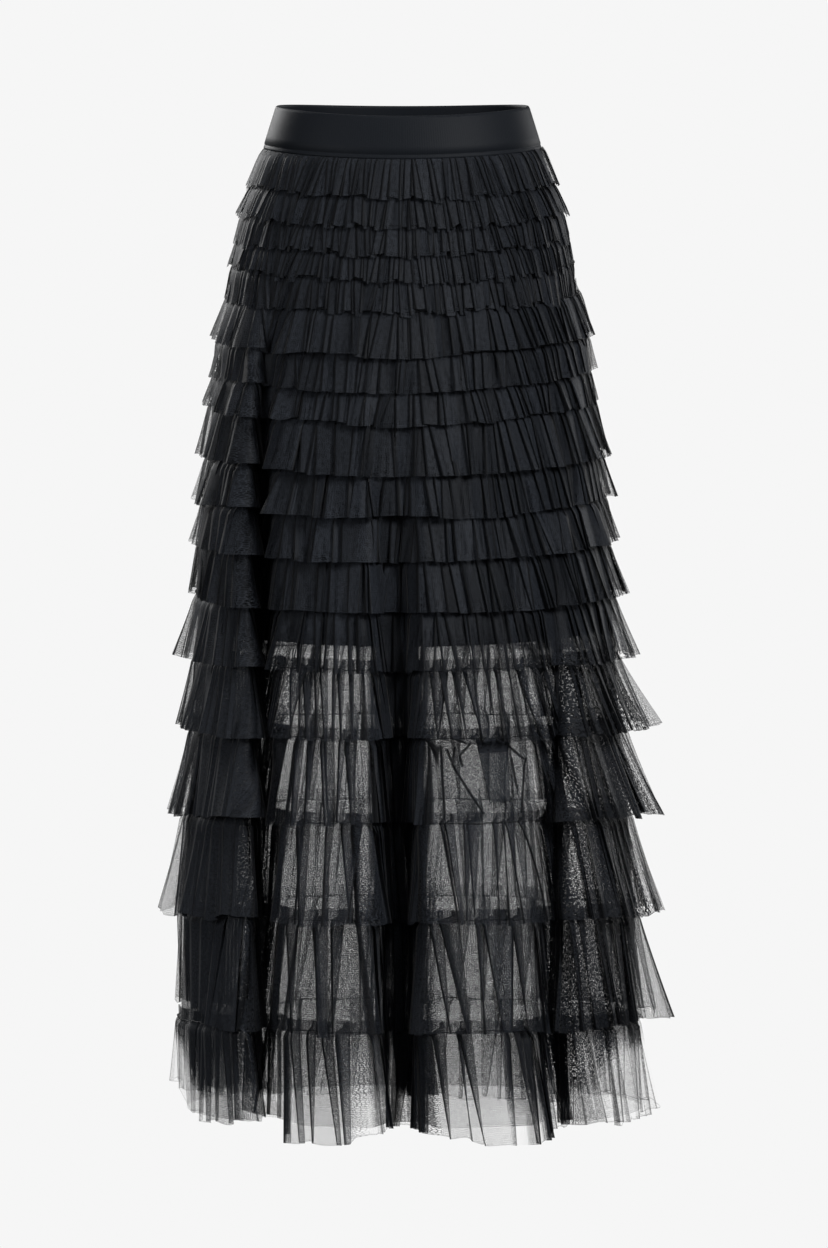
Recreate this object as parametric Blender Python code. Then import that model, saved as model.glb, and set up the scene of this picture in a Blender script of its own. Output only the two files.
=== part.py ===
"""A long black tulle skirt in the shape that it has when worn: a satin elastic waistband,
an opaque lining, a sheer base skirt with deep hanging folds, and eighteen gathered ruffles.

Metres, +Z up. The front faces -Y. The origin is the middle of the waist, halfway up the
waistband, where the skirt is held up.
"""

import math
from collections import namedtuple

import bmesh
import bpy
from mathutils import Vector

# Cloth walls and the gap that two sewn pieces keep
WAISTBAND_WALL = 0.0024
BASE_WALL = 0.0012
LINING_WALL = 0.0012
RUFFLE_WALL = 0.0012
SEAM_GAP = 0.0003

# Waistband: a smooth elastic ring, narrower at its top edge
WAISTBAND_HEIGHT = 0.040
WAISTBAND_TOP_HALF_WIDTH = 0.119
WAISTBAND_TOP_HALF_DEPTH = 0.087
WAISTBAND_TOP_DIP = 0.019

# Share of a seam's dip that follows the cosine round the skirt, and its square
DIP_COSINE = 0.75
DIP_SQUARE = 0.25

# One row for each seam round the skirt, from the waistband's lower edge to the hem:
# how far it lies below the seam above at the sides, the base skirt's half width and half
# depth there, how far the seam dips at the front, and how far the skirt leans to the right.
Seam = namedtuple("Seam", "spacing half_width half_depth dip lean")
SEAMS = (
    Seam(WAISTBAND_HEIGHT / 2, 0.130, 0.094, 0.020, 0.000),
    Seam(0.032, 0.140, 0.102, 0.022, 0.000),
    Seam(0.025, 0.148, 0.109, 0.025, 0.000),
    Seam(0.025, 0.153, 0.115, 0.026, 0.000),
    Seam(0.024, 0.158, 0.121, 0.027, 0.000),
    Seam(0.029, 0.162, 0.127, 0.027, 0.000),
    Seam(0.039, 0.171, 0.136, 0.028, 0.000),
    Seam(0.032, 0.173, 0.141, 0.029, 0.000),
    Seam(0.029, 0.178, 0.146, 0.029, 0.000),
    Seam(0.050, 0.183, 0.152, 0.026, 0.001),
    Seam(0.041, 0.186, 0.156, 0.024, 0.001),
    Seam(0.041, 0.189, 0.159, 0.022, 0.001),
    Seam(0.049, 0.193, 0.162, 0.020, 0.002),
    Seam(0.058, 0.196, 0.166, 0.015, 0.003),
    Seam(0.066, 0.199, 0.170, 0.011, 0.004),
    Seam(0.081, 0.206, 0.176, 0.006, 0.005),
    Seam(0.092, 0.211, 0.182, 0.001, 0.006),
    Seam(0.101, 0.214, 0.188, 0.000, 0.006),
    Seam(0.102, 0.213, 0.195, 0.000, 0.012),
)

# One row for each ruffle: how far the crests of its hem stand out from the base skirt, and
# the share of its own length by which a crest lifts.
Ruffle = namedtuple("Ruffle", "flare lift")
RUFFLES = (
    Ruffle(0.0060, 0.02),
    Ruffle(0.0060, 0.02),
    Ruffle(0.0050, 0.02),
    Ruffle(0.0050, 0.02),
    Ruffle(0.0055, 0.02),
    Ruffle(0.0085, 0.08),
    Ruffle(0.0100, 0.12),
    Ruffle(0.0095, 0.12),
    Ruffle(0.0135, 0.14),
    Ruffle(0.0130, 0.14),
    Ruffle(0.0130, 0.14),
    Ruffle(0.0135, 0.14),
    Ruffle(0.0200, 0.16),
    Ruffle(0.0240, 0.18),
    Ruffle(0.0230, 0.20),
    Ruffle(0.0210, 0.22),
    Ruffle(0.0230, 0.20),
    Ruffle(0.0120, 0.04),
)
TROUGH_REACH = 0.0032
HEM_BELOW_SEAM = 0.03
RIGHT_SIDE_EXTRA = 0.18

# Waves of a ruffle's hem, counted in the lines that run down the skirt, with how far they are
# turned from one ruffle to the next, and how much the height of their crests varies
WAVE_LINES = 6
WAVE_DRIFT = 2.3
CREST_LINES = 7.9
CREST_DRIFT = 1.3
CREST_VARIATION = 0.14
FOLD_DAMPING = 0.6

# Deep hanging folds of the base skirt, front ones first, in the order that they have round
# the skirt: where each lies across, how wide it is round the skirt, how far down it starts,
# and how deep it is at the hem. Lines round the skirt run down these folds.
Fold = namedtuple("Fold", "across side half_angle start depth")
FRONT, BACK = 0, 1
FOLDS = (
    Fold(-0.127, FRONT, 13.0, 0.16, 0.042),
    Fold(-0.008, FRONT, 14.0, 0.20, 0.050),
    Fold(0.131, FRONT, 12.0, 0.22, 0.034),
    Fold(0.142, BACK, 12.0, 0.22, 0.040),
    Fold(0.012, BACK, 13.0, 0.22, 0.046),
    Fold(-0.137, BACK, 12.0, 0.22, 0.038),
)
FOLD_FLOOR = 0.15
HIP_HALF_WIDTH = 0.183
LINES_PER_SPAN = (9, 9, 8, 8, 8, 8, 8, 8)
CROWDING = 0.08

# Lining: how far it stays inside the base skirt at each of its rings
LiningRing = namedtuple("LiningRing", "level inside")
LINING_RINGS = (
    LiningRing(0, 0.0),
    LiningRing(2, 0.0020),
    LiningRing(5, 0.0045),
    LiningRing(8, 0.0060),
    LiningRing(11, 0.0080),
    LiningRing(12.60, 0.0090),
)

HEM = len(SEAMS) - 1
DROPS = [sum(seam.spacing for seam in SEAMS[: place + 1]) for place in range(len(SEAMS))]


def smooth_step(value):
    value = min(max(value, 0.0), 1.0)
    return value * value * (3.0 - 2.0 * value)


def fold_angle(fold, half_width):
    """Angle round the skirt, from the front towards the right, at which a fold lies.

    Folds hang upright below the hips, and above them they draw together with the waist."""
    angle = math.asin(fold.across / max(half_width, HIP_HALF_WIDTH))
    return angle if fold.side == FRONT else math.pi - angle


def line_angles(half_width):
    """Angle of each line that runs down the skirt, at a seam of this half width."""
    left_front, middle, right_front, right_back, back, left_back = (
        fold_angle(fold, half_width) for fold in FOLDS
    )
    right_side = math.pi / 2
    left_side = 3 * math.pi / 2
    stops = (left_front, middle, right_front, right_side)
    stops += (right_back, back, left_back, left_side, left_front + math.tau)
    angles = []
    for start, end, count in zip(stops, stops[1:], LINES_PER_SPAN):
        for step in range(count):
            share = step / count
            share -= CROWDING * math.sin(math.tau * share)
            angles.append(start + (end - start) * share)
    return angles


def fold_inset(angle, place):
    """How far the folds take the base skirt in at this angle, on the seam at this place."""
    seam = SEAMS[place]
    inset = 0.0
    for fold in FOLDS:
        away = angle - fold_angle(fold, seam.half_width)
        away = abs((away + math.pi) % math.tau - math.pi) / math.radians(fold.half_angle)
        across = 1.0 - smooth_step((away - FOLD_FLOOR) / (1.0 - FOLD_FLOOR))
        down = smooth_step((DROPS[place] - fold.start) / (DROPS[HEM] - fold.start))
        inset += fold.depth * across * down
    return inset


def front_dip(angle, dip):
    """Height of a seam over its sides: it dips at the front and rises half as much behind."""
    return -dip * (DIP_COSINE * math.cos(angle) + DIP_SQUARE * math.cos(angle) ** 2)


def seam_line(place):
    """The base skirt's outer surface along one seam, a point for each line."""
    seam = SEAMS[place]
    points = []
    for angle in line_angles(seam.half_width):
        across = seam.half_width * math.sin(angle)
        along = -seam.half_depth * math.cos(angle)
        scale = 1.0 - fold_inset(angle, place) / math.hypot(across, along)
        height = front_dip(angle, seam.dip) - DROPS[place]
        points.append(Vector((across * scale + seam.lean, along * scale, height)))
    return points


def level_normals(points):
    """Outward level directions at the points of a ring, scaled so that sides stay parallel."""
    sides = []
    for point, following in zip(points, points[1:] + points[:1]):
        run = following - point
        sides.append(Vector((run.y, -run.x, 0.0)).normalized())
    normals = []
    for before, after in zip(sides[-1:] + sides[:-1], sides):
        normals.append((before + after) / (1.0 + before.dot(after)))
    return normals


SEAM_POINTS = [seam_line(place) for place in range(len(SEAMS))]
SEAM_NORMALS = [level_normals(points) for points in SEAM_POINTS]
LINE_COUNT = len(SEAM_POINTS[0])
RIGHT_SIDE_LINE = sum(LINES_PER_SPAN[:3])
LEFT_SIDE_LINE = sum(LINES_PER_SPAN[:7])


def skirt_point(level, line, outward):
    """A point on a line of the base skirt, moved outward. Whole levels are its seams."""
    above = min(int(level), HEM - 1)
    line %= LINE_COUNT
    ends = []
    for place in (above, above + 1):
        ends.append(SEAM_POINTS[place][line] + SEAM_NORMALS[place][line] * outward)
    return ends[0].lerp(ends[1], level - above)


def away_from_axis(place, line):
    """The level direction that leads straight out from the middle of the skirt."""
    point = SEAM_POINTS[place][line]
    return Vector((point.x - SEAMS[place].lean, point.y, 0.0)).normalized()


def skirt_ring(level, outward, lines):
    return [skirt_point(level, line, outward) for line in lines]


def fold_share(line):
    """1 at the bottom of the deepest fold of the hem, and 0 away from the folds."""
    angle = line_angles(SEAMS[HEM].half_width)[line]
    return min(fold_inset(angle, HEM) / max(fold.depth for fold in FOLDS), 1.0)


FOLD_SHARES = [fold_share(line) for line in range(LINE_COUNT)]


def cloth(name, colour, roughness):
    material = bpy.data.materials.new(name)
    material.use_nodes = True
    shader = material.node_tree.nodes["Principled BSDF"]
    shader.inputs["Base Color"].default_value = (*colour, 1.0)
    shader.inputs["Roughness"].default_value = roughness
    shader.inputs["Metallic"].default_value = 0.0
    material.diffuse_color = (*colour, 1.0)
    return material


def wall(name, outer_rings, inner_rings, closed, material):
    """One closed solid between two nets of rings, the rings given from the top down."""
    mesh = bmesh.new()
    outer = [[mesh.verts.new(point) for point in ring] for ring in outer_rings]
    inner = [[mesh.verts.new(point) for point in ring] for ring in inner_rings]
    columns = len(outer[0])
    steps = columns if closed else columns - 1
    for step in range(steps):
        following = (step + 1) % columns
        for upper, lower in zip(outer, outer[1:]):
            mesh.faces.new((upper[step], lower[step], lower[following], upper[following]))
        for upper, lower in zip(inner, inner[1:]):
            mesh.faces.new((lower[following], lower[step], upper[step], upper[following]))
        mesh.faces.new((inner[0][step], outer[0][step], outer[0][following], inner[0][following]))
        mesh.faces.new((outer[-1][step], inner[-1][step], inner[-1][following], outer[-1][following]))
    if not closed:
        for row in range(len(outer) - 1):
            mesh.faces.new((outer[row][0], inner[row][0], inner[row + 1][0], outer[row + 1][0]))
            mesh.faces.new((inner[row][-1], outer[row][-1], outer[row + 1][-1], inner[row + 1][-1]))
    bmesh.ops.triangulate(mesh, faces=mesh.faces[:], quad_method="FIXED")
    bmesh.ops.recalc_face_normals(mesh, faces=mesh.faces[:])
    data = bpy.data.meshes.new(name)
    mesh.to_mesh(data)
    mesh.free()
    data.shade_smooth()
    data.materials.append(material)
    solid = bpy.data.objects.new(name, data)
    bpy.context.collection.objects.link(solid)
    return solid


def make_waistband(material):
    """The elastic ring. Its lower edge lies on the top edges of the skirt and first ruffle."""
    outer_bottom = []
    outer_top = []
    for line, angle in enumerate(line_angles(SEAMS[0].half_width)):
        bottom = skirt_point(0, line, SEAM_GAP + RUFFLE_WALL)
        outer_bottom.append(bottom + Vector((0.0, 0.0, SEAM_GAP)))
        across = WAISTBAND_TOP_HALF_WIDTH * math.sin(angle)
        along = -WAISTBAND_TOP_HALF_DEPTH * math.cos(angle)
        height = front_dip(angle, WAISTBAND_TOP_DIP) + WAISTBAND_HEIGHT / 2
        outer_top.append(Vector((across, along, height)))
    outer = [outer_top, outer_bottom]
    inner = []
    for ring in outer:
        normals = level_normals(ring)
        inner.append([point - normal * WAISTBAND_WALL for point, normal in zip(ring, normals)])
    wall("waistband", outer, inner, True, material)


def seam_edges(rings, side):
    """Draws the two edges of a front or back panel off the side seams by half the gap."""
    shift = Vector((0.0, SEAM_GAP / 2 * side, 0.0))
    for ring in rings:
        ring[0] = ring[0] + shift
        ring[-1] = ring[-1] + shift
    return rings


def make_panels(name, levels, insides, thickness, material):
    """A front and a back panel that meet at the side seams."""
    front_lines = range(LEFT_SIDE_LINE, LINE_COUNT + RIGHT_SIDE_LINE + 1)
    back_lines = range(RIGHT_SIDE_LINE, LEFT_SIDE_LINE + 1)
    for panel, lines, side in (("front", front_lines, -1.0), ("back", back_lines, 1.0)):
        outer = []
        inner = []
        for level, inside in zip(levels, insides):
            outer.append(skirt_ring(level, -inside, lines))
            inner.append(skirt_ring(level, -inside - thickness, lines))
        outer = seam_edges(outer, side)
        inner = seam_edges(inner, side)
        wall(f"{name}_{panel}", outer, inner, False, material)


def wave(number, line):
    """How far a ruffle's hem swings out at this line, from 0 in a trough to 1 on a crest."""
    swing = 0.5 + 0.5 * math.cos(math.tau * (line / WAVE_LINES + WAVE_DRIFT * number))
    variation = math.sin(math.tau * line / CREST_LINES + CREST_DRIFT * number)
    return swing * (1.0 + CREST_VARIATION * (variation - 1.0))


def make_ruffle(number, material):
    """A gathered strip: flat on the base skirt at its seam, in waves at its hem."""
    ruffle = RUFFLES[number]
    inner_top = []
    outer_top = []
    inner_hem = []
    for line in range(LINE_COUNT):
        crest = wave(number, line) * (1.0 - FOLD_DAMPING * FOLD_SHARES[line])
        outward = away_from_axis(number + 1, line)
        flare = ruffle.flare * (1.0 + RIGHT_SIDE_EXTRA * outward.x)
        swing = outward * max(flare - TROUGH_REACH, 0.0) * crest
        level = number + 1.0 + HEM_BELOW_SEAM * (1.0 - crest) - ruffle.lift * crest
        level = min(level, float(HEM))
        inner_top.append(skirt_point(number, line, SEAM_GAP))
        outer_top.append(skirt_point(number, line, SEAM_GAP + RUFFLE_WALL))
        inner_hem.append(skirt_point(level, line, TROUGH_REACH) + swing)
    normals = level_normals(inner_hem)
    outer_hem = [point + normal * RUFFLE_WALL for point, normal in zip(inner_hem, normals)]
    outer = [outer_top, outer_hem]
    inner = [inner_top, inner_hem]
    wall(f"ruffle_{number + 1:02d}", outer, inner, True, material)


def main():
    for existing in list(bpy.data.objects):
        bpy.data.objects.remove(existing, do_unlink=True)
    satin = cloth("satin_elastic", (0.016, 0.018, 0.022), 0.45)
    opaque = cloth("lining_cloth", (0.007, 0.008, 0.010), 0.8)
    mesh_cloth = cloth("base_tulle", (0.018, 0.020, 0.024), 0.85)
    tulle = cloth("ruffle_tulle", (0.012, 0.014, 0.018), 0.85)
    make_waistband(satin)
    levels = list(range(len(SEAMS)))
    make_panels("base", levels, [0.0] * len(levels), BASE_WALL, mesh_cloth)
    lining_levels = [ring.level for ring in LINING_RINGS]
    lining_insides = [BASE_WALL + SEAM_GAP + ring.inside for ring in LINING_RINGS]
    make_panels("lining", lining_levels, lining_insides, LINING_WALL, opaque)
    for number in range(len(RUFFLES)):
        make_ruffle(number, tulle)


main()
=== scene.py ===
"""Looks of the long black tulle skirt: eighteen gathered ruffles on a sheer base skirt with
deep hanging folds, an opaque short lining and a satin elastic waistband.

Metres, +Z up, front towards -Y, origin in the middle of the waist, as in the solids.
"""

import math
from collections import namedtuple

import bmesh
import bpy
import numpy as np
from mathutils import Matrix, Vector


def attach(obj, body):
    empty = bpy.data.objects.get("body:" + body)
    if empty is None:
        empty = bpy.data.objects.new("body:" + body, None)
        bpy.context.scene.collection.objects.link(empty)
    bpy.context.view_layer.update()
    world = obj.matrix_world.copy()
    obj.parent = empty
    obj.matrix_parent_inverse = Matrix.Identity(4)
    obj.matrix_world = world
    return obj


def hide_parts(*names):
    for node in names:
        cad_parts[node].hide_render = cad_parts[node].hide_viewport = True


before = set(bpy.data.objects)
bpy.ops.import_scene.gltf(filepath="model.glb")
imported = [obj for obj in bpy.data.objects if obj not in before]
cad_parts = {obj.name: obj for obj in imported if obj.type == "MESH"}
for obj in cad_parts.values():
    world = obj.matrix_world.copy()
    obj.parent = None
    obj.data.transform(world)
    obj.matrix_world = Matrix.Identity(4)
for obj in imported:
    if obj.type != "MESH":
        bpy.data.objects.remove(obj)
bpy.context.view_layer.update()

# Cut of the skirt, as in its solids

WAISTBAND_HEIGHT = 0.040
WAISTBAND_TOP_HALF_WIDTH = 0.119
WAISTBAND_TOP_HALF_DEPTH = 0.087
WAISTBAND_TOP_DIP = 0.019
WAISTBAND_WALL = 0.0024
WAISTBAND_OVERHANG = 0.0015
WAISTBAND_LENGTH = 0.70
# How a seam's dip in front follows the turn round the skirt
DIP_COSINE = 0.75
DIP_SQUARE = 0.25

Seam = namedtuple("Seam", "spacing half_width half_depth dip lean")
SEAMS = (
    Seam(WAISTBAND_HEIGHT / 2, 0.130, 0.094, 0.020, 0.000),
    Seam(0.032, 0.140, 0.102, 0.022, 0.000),
    Seam(0.025, 0.148, 0.109, 0.025, 0.000),
    Seam(0.025, 0.153, 0.115, 0.026, 0.000),
    Seam(0.024, 0.158, 0.121, 0.027, 0.000),
    Seam(0.029, 0.162, 0.127, 0.027, 0.000),
    Seam(0.039, 0.171, 0.136, 0.028, 0.000),
    Seam(0.032, 0.173, 0.141, 0.029, 0.000),
    Seam(0.029, 0.178, 0.146, 0.029, 0.000),
    Seam(0.050, 0.183, 0.152, 0.026, 0.001),
    Seam(0.041, 0.186, 0.156, 0.024, 0.001),
    Seam(0.041, 0.189, 0.159, 0.022, 0.001),
    Seam(0.049, 0.193, 0.162, 0.020, 0.002),
    Seam(0.058, 0.196, 0.166, 0.015, 0.003),
    Seam(0.066, 0.199, 0.170, 0.011, 0.004),
    Seam(0.081, 0.206, 0.176, 0.006, 0.005),
    Seam(0.092, 0.211, 0.182, 0.001, 0.006),
    Seam(0.101, 0.214, 0.188, 0.000, 0.006),
    Seam(0.102, 0.213, 0.195, 0.000, 0.012),
)
LEVELS = np.arange(len(SEAMS))
HEM = len(SEAMS) - 1
LAST_RUFFLE = HEM - 1
TABLE = {field: np.array([getattr(seam, field) for seam in SEAMS]) for field in Seam._fields}
TABLE["drop"] = np.cumsum(TABLE["spacing"])

# Deep hanging folds of the base skirt: where each lies across, how wide it is round the
# skirt in degrees, how far down it starts and is full, and how deep it is
FRONT, BACK = 0, 1
Fold = namedtuple("Fold", "across side half_angle start full depth")
FOLDS = (
    Fold(-0.127, FRONT, 8.5, 0.08, 0.42, 0.052),
    Fold(-0.008, FRONT, 9.0, 0.16, 0.75, 0.054),
    Fold(0.130, FRONT, 7.5, 0.34, 0.80, 0.040),
    Fold(0.136, BACK, 9.0, 0.10, 0.50, 0.046),
    Fold(0.004, BACK, 9.0, 0.18, 0.75, 0.050),
    Fold(-0.140, BACK, 9.0, 0.22, 0.70, 0.042),
)
FOLD_FLOOR = 0.30
HIP_HALF_WIDTH = 0.183

# One row for each ruffle: how far its hem crests stand out, how much more at the left and
# right side, the pitch and depth of its gathers at the hem, the depth of the large waves, the
# unevenness of its cut edge, how many layers its fine gathers stand for, and its mesh rows
Ruffle = namedtuple("Ruffle", "flare left right pitch depth wave ragged layers rows")
RUFFLES = (
    Ruffle(0.0060, 0.000, 0.001, 0.0048, 0.0024, 0.0012, 0.0020, 9, 6),
    Ruffle(0.0060, 0.002, 0.001, 0.0046, 0.0024, 0.0012, 0.0023, 9, 6),
    Ruffle(0.0050, 0.000, -0.002, 0.0046, 0.0024, 0.0012, 0.0023, 9, 6),
    Ruffle(0.0050, 0.000, -0.003, 0.0046, 0.0024, 0.0012, 0.0023, 9, 6),
    Ruffle(0.0055, -0.002, -0.005, 0.0050, 0.0026, 0.0014, 0.0020, 9, 6),
    Ruffle(0.0090, 0.000, 0.001, 0.0074, 0.0038, 0.0020, 0.0010, 9, 7),
    Ruffle(0.0105, -0.003, 0.000, 0.0082, 0.0040, 0.0022, 0.0009, 9, 7),
    Ruffle(0.0100, 0.000, -0.003, 0.0082, 0.0040, 0.0022, 0.0009, 9, 7),
    Ruffle(0.0140, 0.000, 0.002, 0.0086, 0.0044, 0.0030, 0.0009, 9, 8),
    Ruffle(0.0135, 0.002, 0.000, 0.0086, 0.0044, 0.0030, 0.0009, 9, 8),
    Ruffle(0.0135, 0.001, 0.002, 0.0086, 0.0044, 0.0030, 0.0009, 9, 8),
    Ruffle(0.0140, -0.005, 0.004, 0.0088, 0.0046, 0.0035, 0.0009, 9, 8),
    Ruffle(0.0205, 0.004, 0.004, 0.0088, 0.0046, 0.0040, 0.0011, 9, 10),
    Ruffle(0.0245, -0.001, 0.018, 0.0070, 0.0046, 0.0055, 0.0014, 13, 12),
    Ruffle(0.0240, 0.001, 0.022, 0.0084, 0.0056, 0.0070, 0.0018, 13, 13),
    Ruffle(0.0220, 0.001, 0.013, 0.0098, 0.0062, 0.0080, 0.0022, 13, 14),
    Ruffle(0.0240, -0.018, 0.007, 0.0114, 0.0070, 0.0090, 0.0024, 12, 15),
    Ruffle(0.0150, -0.001, 0.001, 0.0124, 0.0074, 0.0090, 0.0030, 9, 16),
)
GATHERS_PER_WAVE = 3
HIDDEN_STEPS = 3
FACE_STEPS = 7
# The first ruffles have ragged cut edges, and from this one down the ruffles are sheer
RAGGED_RUFFLES = 5
SHEER_FROM = 12

# The last ruffle's hem round the skirt: how far it rises above its lowest, the share of its
# layers that is left there, and how far down the ruffle the thinning starts
HemPlace = namedtuple("HemPlace", "degrees lift layers start")
HEM_PLACES = (
    HemPlace(-90, 0.042, 0.10, 0.10),
    HemPlace(-72, 0.042, 0.10, 0.10),
    HemPlace(-67, 0.018, 0.04, 0.44),
    HemPlace(-57.5, 0.014, 0.04, 0.48),
    HemPlace(-55.5, 0.014, 0.24, 0.48),
    HemPlace(-45, 0.020, 0.18, 0.48),
    HemPlace(-42, 0.021, 0.45, 0.48),
    HemPlace(-30.6, 0.022, 0.55, 0.48),
    HemPlace(-29.2, 0.003, 0.60, 0.48),
    HemPlace(-12.4, 0.004, 0.55, 0.48),
    HemPlace(-11.6, 0.008, 0.60, 0.48),
    HemPlace(-10.9, 0.014, 0.05, 0.44),
    HemPlace(-8.4, 0.014, 0.05, 0.44),
    HemPlace(-7.6, 0.014, 1.20, 0.48),
    HemPlace(-2.4, 0.014, 1.20, 0.48),
    HemPlace(-1.2, 0.014, 0.06, 0.46),
    HemPlace(2.2, 0.014, 0.06, 0.46),
    HemPlace(3.0, 0.014, 0.60, 0.48),
    HemPlace(12, 0.010, 0.60, 0.48),
    HemPlace(17, 0.003, 0.55, 0.48),
    HemPlace(20.8, 0.003, 0.45, 0.46),
    HemPlace(21.6, 0.003, 0.05, 0.46),
    HemPlace(24.6, 0.004, 0.05, 0.46),
    HemPlace(25.2, 0.004, 0.70, 0.46),
    HemPlace(27.2, 0.005, 0.70, 0.46),
    HemPlace(27.9, 0.006, 0.06, 0.46),
    HemPlace(29.4, 0.006, 0.06, 0.46),
    HemPlace(30.0, 0.006, 0.55, 0.46),
    HemPlace(33.2, 0.008, 0.55, 0.46),
    HemPlace(34.0, 0.009, 0.05, 0.46),
    HemPlace(38.0, 0.011, 0.05, 0.46),
    HemPlace(38.8, 0.013, 0.30, 0.50),
    HemPlace(48, 0.016, 0.24, 0.50),
    HemPlace(50, 0.014, 0.03, 0.30),
    HemPlace(54, 0.014, 0.015, 0.00),
    HemPlace(90, 0.018, 0.015, 0.00),
    HemPlace(120, 0.020, 0.04, 0.05),
    HemPlace(132, 0.014, 0.20, 0.30),
    HemPlace(150, 0.006, 0.35, 0.48),
    HemPlace(165, 0.004, 0.55, 0.48),
    HemPlace(178, 0.014, 0.90, 0.48),
    HemPlace(182, 0.014, 0.90, 0.48),
    HemPlace(185, 0.012, 0.06, 0.40),
    HemPlace(196, 0.006, 0.06, 0.40),
    HemPlace(199, 0.005, 0.50, 0.48),
    HemPlace(205, 0.004, 0.55, 0.48),
    HemPlace(225, 0.018, 0.40, 0.48),
    HemPlace(258, 0.024, 0.30, 0.30),
    HemPlace(270, 0.042, 0.10, 0.10),
)
HEADING = 0.010
LINING_HEM = 12.60
LINING_TUCK = 0.004
LINING_GAP_TOP = 0.0015
LINING_GAP_HEM = 0.0105
BASE_HEM = 17.84
# From this level down the base is thinner, as only the last ruffle hides it
BASE_THIN = 16.85
# Far from any tuck, for cloth that has none
NO_TUCK = -9.0
SEED = 11
# The last ruffle lies bunched between these degrees, with this share
LAST_BUNCHED = (23.5, 44.0)
LAST_BUNCHED_SHARE = 0.85
# Where the bunched cloth is smooth and dense, and where one ruffle lies turned aside
PLAIN_SPAN = (-68.0, -46.0)
TURNED_RUFFLE = 14
TURNED_SPAN = (7.9, 33.7)

# How full the gathers are round the skirt below the lining, from 0 where the cloth is drawn
# out flat to 1 where it is bunched. Degrees from the front towards the right.
Fullness = namedtuple("Fullness", "degrees share")
FULLNESS = (
    Fullness(-90, 0.13),
    Fullness(-78, 0.22),
    Fullness(-68, 0.90),
    Fullness(-46, 1.00),
    Fullness(-42, 0.42),
    Fullness(-34, 0.42),
    Fullness(-31, 0.06),
    Fullness(-13, 0.06),
    Fullness(-11.5, 0.25),
    Fullness(-10.5, 0.12),
    Fullness(-9.5, 1.00),
    Fullness(5.0, 1.00),
    Fullness(7, 0.06),
    Fullness(34, 0.06),
    Fullness(36, 0.00),
    Fullness(38, 0.90),
    Fullness(43, 0.95),
    Fullness(48, 0.92),
    Fullness(74, 0.86),
    Fullness(81, 0.30),
    Fullness(90, 0.13),
    Fullness(100, 0.16),
    Fullness(112, 0.14),
    Fullness(134, 0.14),
    Fullness(140.5, 0.05),
    Fullness(172, 0.05),
    Fullness(176, 0.60),
    Fullness(187, 0.60),
    Fullness(190.5, 0.05),
    Fullness(216, 0.05),
    Fullness(220, 0.30),
    Fullness(228, 0.60),
    Fullness(254, 0.60),
    Fullness(262, 0.22),
    Fullness(270, 0.13),
)
# Where light shows through specks and slits between many layers, and how often
Glitter = namedtuple("Glitter", "degrees share")
GLITTERS = (
    Glitter(-48, 0.0),
    Glitter(-45, 0.35),
    Glitter(-32, 0.35),
    Glitter(-30, 0.0),
    Glitter(32, 0.0),
    Glitter(35, 0.80),
    Glitter(38, 0.80),
    Glitter(44, 0.40),
    Glitter(76, 0.40),
    Glitter(80, 0.0),
)
FULL_GLITTER = 0.40
RUFFLE_GLITTER = 0.95
BASE_GLITTER = 0.85
# Layers of flat cloth in front and behind, and those that a tuck, a heading or cut edge, the
# plain and glittering stretches and a tuck's edge line add
FLAT_LAYERS = 1.3
BACK_FLAT_LAYERS = 0.45
TUCK_LAYERS = 2.0
EDGE_LAYERS = 2.2
PLAIN_LAYERS = 4.0
GLITTER_LAYERS = 2.5
FOLD_LINE_LAYERS = 17.0
# Up to this many layers show their holes, and each one past it lets this share through
NETTED_LAYERS = 5.0
FILLED_THROUGH = 0.84
FRONT_BASE_LAYERS = (0.8, 9.0)
BACK_BASE_LAYERS = (4.4, 9.0)
SIDE_BASE_LAYERS = 3.0

# Where the gathers fan out sideways: how far the hem is carried, in metres
Fan = namedtuple("Fan", "degrees half_angle shift")
FANS = (
    Fan(-37, 9, -0.013),
    Fan(-48, 8, 0.006),
    Fan(-6, 9, -0.008),
    Fan(12, 12, 0.003),
    Fan(40, 14, 0.005),
    Fan(129, 9, -0.009),
    Fan(160, 8, 0.004),
    Fan(181, 8, 0.003),
    Fan(205, 9, 0.004),
    Fan(228, 9, 0.010),
)


def smooth_step(value):
    value = np.clip(value, 0.0, 1.0)
    return value * value * (3.0 - 2.0 * value)


def at_level(field, level):
    return np.interp(level, LEVELS, TABLE[field])


def front_degrees(angle):
    """Degrees from the front towards the right, from -90 up to 270."""
    return np.degrees(angle + math.pi / 2) % 360.0 - 90.0


def front_dip(angle):
    cosine = np.cos(angle)
    return DIP_COSINE * cosine + DIP_SQUARE * cosine**2


def fold_inset(level, angle):
    """How far the hanging folds take the base skirt in, at these levels and angles."""
    half_width = np.maximum(at_level("half_width", level), HIP_HALF_WIDTH)
    drop = at_level("drop", level)
    inset = np.zeros(np.broadcast(level, angle).shape)
    for fold in FOLDS:
        centre = np.arcsin(fold.across / half_width)
        if fold.side == BACK:
            centre = math.pi - centre
        away = np.abs((angle - centre + math.pi) % math.tau - math.pi)
        away = away / math.radians(fold.half_angle)
        across = 1.0 - smooth_step((away - FOLD_FLOOR) / (1.0 - FOLD_FLOOR))
        down = smooth_step((drop - fold.start) / (fold.full - fold.start))
        inset = inset + fold.depth * across * down
    return inset


def base_point(level, angle):
    """Points of the base skirt. The angle runs from the front towards the right."""
    across = at_level("half_width", level) * np.sin(angle)
    along = -at_level("half_depth", level) * np.cos(angle)
    inwards = -np.sign(along) * fold_inset(level, angle)
    height = -at_level("dip", level) * front_dip(angle) - at_level("drop", level)
    return np.stack([across + at_level("lean", level), along + inwards, height], axis=-1)


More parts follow.
